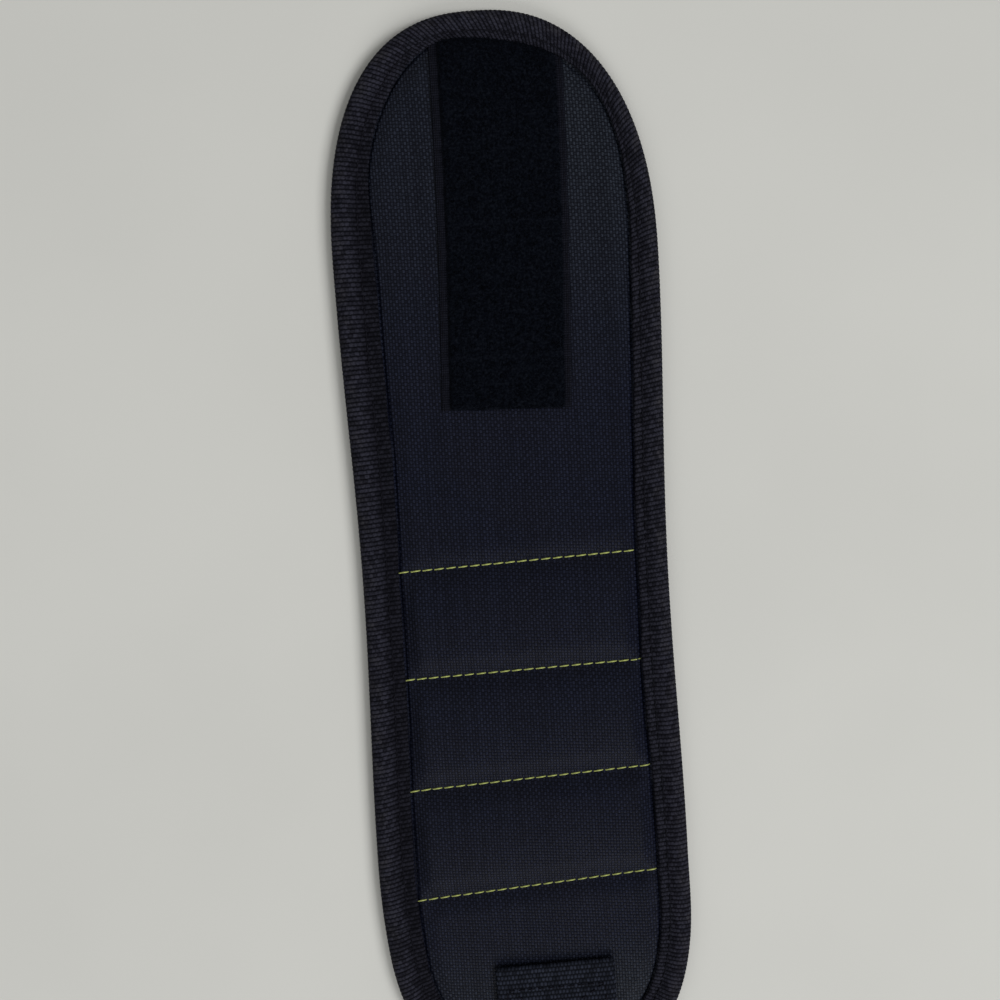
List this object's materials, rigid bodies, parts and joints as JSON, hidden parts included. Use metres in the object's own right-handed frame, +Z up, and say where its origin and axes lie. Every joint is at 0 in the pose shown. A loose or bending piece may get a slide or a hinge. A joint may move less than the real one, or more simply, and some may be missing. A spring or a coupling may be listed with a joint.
{
  "type": "magnetic wristband",
  "caption": "Flat padded fabric wristband with disc magnets sewn into channels to hold small steel parts, bound edge, and a hook strap that closes on a loop tape",
  "frame": {"origin": "under the middle of the whole length, on the surface that the band lies on", "axes": "+Y along the band towards the loop tape end, +X to the right seen from the front, +Z up out of the front face"},
  "size_m": [0.0852, 0.336, 0.0057],
  "materials": {
    "cloth": "coarse woven nylon, matt",
    "lining": "soft knitted mesh",
    "binding": "ribbed grosgrain tape",
    "loop_tape": "fuzzy loop pile",
    "strap": "ribbed webbing",
    "hook": "fine nylon hooks",
    "foam": "open cell foam",
    "magnet": "bright plated",
    "seam_thread": "yellow-green sewing thread"
  },
  "bodies": {
    "tip": {"lining_tip": "lining", "cloth_tip": "cloth", "binding_tip": "binding", "loop_tape_tip": "loop_tape"},
    "loop_upper": {"lining_loop_upper": "lining", "cloth_loop_upper": "cloth", "binding_loop_upper_left": "binding", "binding_loop_upper_right": "binding", "loop_tape_loop_upper": "loop_tape"},
    "loop_lower": {"lining_loop_lower": "lining", "cloth_loop_lower": "cloth", "binding_loop_lower_left": "binding", "binding_loop_lower_right": "binding", "loop_tape_loop_lower": "loop_tape"},
    "plain": {"lining_plain": "lining", "cloth_plain": "cloth", "binding_plain_left": "binding", "binding_plain_right": "binding"},
    "row_1": {"lining_row_1": "lining", "cloth_row_1": "cloth", "binding_row_1_left": "binding", "binding_row_1_right": "binding", "magnet_row_1_left": "magnet", "magnet_row_1_right": "magnet", "pad_row_1": "foam", "seam_thread_1": "seam_thread", "seam_thread_2": "seam_thread"},
    "row_2": {"lining_row_2": "lining", "cloth_row_2": "cloth", "binding_row_2_left": "binding", "binding_row_2_right": "binding", "magnet_row_2_left": "magnet", "magnet_row_2_right": "magnet", "pad_row_2": "foam", "seam_thread_3": "seam_thread"},
    "row_3": {"lining_row_3": "lining", "cloth_row_3": "cloth", "binding_row_3_left": "binding", "binding_row_3_right": "binding", "magnet_row_3_left": "magnet", "magnet_row_3_right": "magnet", "pad_row_3": "foam", "seam_thread_4": "seam_thread"},
    "heel": {"lining_heel": "lining", "cloth_heel": "cloth", "binding_heel_left": "binding", "binding_heel_right": "binding"},
    "strap_seat": {"lining_strap_seat": "lining", "cloth_strap_seat": "cloth", "binding_strap_seat": "binding", "strap_base": "strap"},
    "strap": {"strap_free": "strap", "hook_patch": "hook"}
  },
  "joints": [
    {"name": "fold_seam_2", "type": "hinge", "parent": "row_2", "child": "row_1", "pos_m": [0, -0.005, 0.0012], "axis": [-1, 0, 0], "range_deg": [-15, 40.5]},
    {"name": "fold_seam_1", "type": "hinge", "parent": "row_1", "child": "plain", "pos_m": [0, 0.025, 0.0012], "axis": [-1, 0, 0], "range_deg": [-15, 50]},
    {"name": "fold_tape_end", "type": "hinge", "parent": "plain", "child": "loop_lower", "pos_m": [0, 0.062, 0.0012], "axis": [-1, 0, 0], "range_deg": [-15, 56.5]},
    {"name": "fold_tape_lower", "type": "hinge", "parent": "loop_lower", "child": "loop_upper", "pos_m": [0, 0.097, 0.0012], "axis": [-1, 0, 0], "range_deg": [-15, 53.5]},
    {"name": "fold_tape_upper", "type": "hinge", "parent": "loop_upper", "child": "tip", "pos_m": [0, 0.131, 0.0012], "axis": [-1, 0, 0], "range_deg": [-15, 52]},
    {"name": "fold_seam_3", "type": "hinge", "parent": "row_2", "child": "row_3", "pos_m": [0, -0.035, 0.0012], "axis": [1, 0, 0], "range_deg": [-15, 37.5]},
    {"name": "fold_seam_4", "type": "hinge", "parent": "row_3", "child": "heel", "pos_m": [0, -0.065, 0.0012], "axis": [1, 0, 0], "range_deg": [-15, 34.5]},
    {"name": "fold_strap_edge", "type": "hinge", "parent": "heel", "child": "strap_seat", "pos_m": [0, -0.085, 0.0012], "axis": [1, 0, 0], "range_deg": [-15, 37.5]},
    {"name": "fold_strap_root", "type": "hinge", "parent": "strap_seat", "child": "strap", "pos_m": [0, -0.118, 0.0049], "axis": [1, 0, 0], "range_deg": [-15, 50]}
  ]
}
